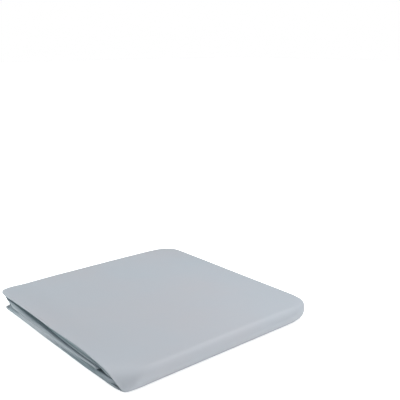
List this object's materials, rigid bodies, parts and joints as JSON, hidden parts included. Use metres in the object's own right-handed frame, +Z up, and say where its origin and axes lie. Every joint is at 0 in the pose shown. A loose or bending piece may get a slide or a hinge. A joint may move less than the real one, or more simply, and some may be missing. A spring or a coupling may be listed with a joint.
{
  "type": "folded bicycle cover",
  "caption": "Light grey coated-cloth cover for a bicycle, folded like a letter into a flat, nearly square packet with a smooth rounded spine and layered sides.",
  "frame": {"origin": "middle of the packet's footprint, on the surface it rests on", "axes": "+Z up, X along the smooth spine fold, Y from the spine to the side where the top layers turn in"},
  "size_m": [0.3328, 0.3404, 0.0255],
  "materials": {
    "coated_cloth": "light grey polyester with a matt waterproof coating, smooth, with a very fine weave and a faint sheen"
  },
  "bodies": {
    "root": {"folded_cover": "coated_cloth"}
  },
  "joints": []
}
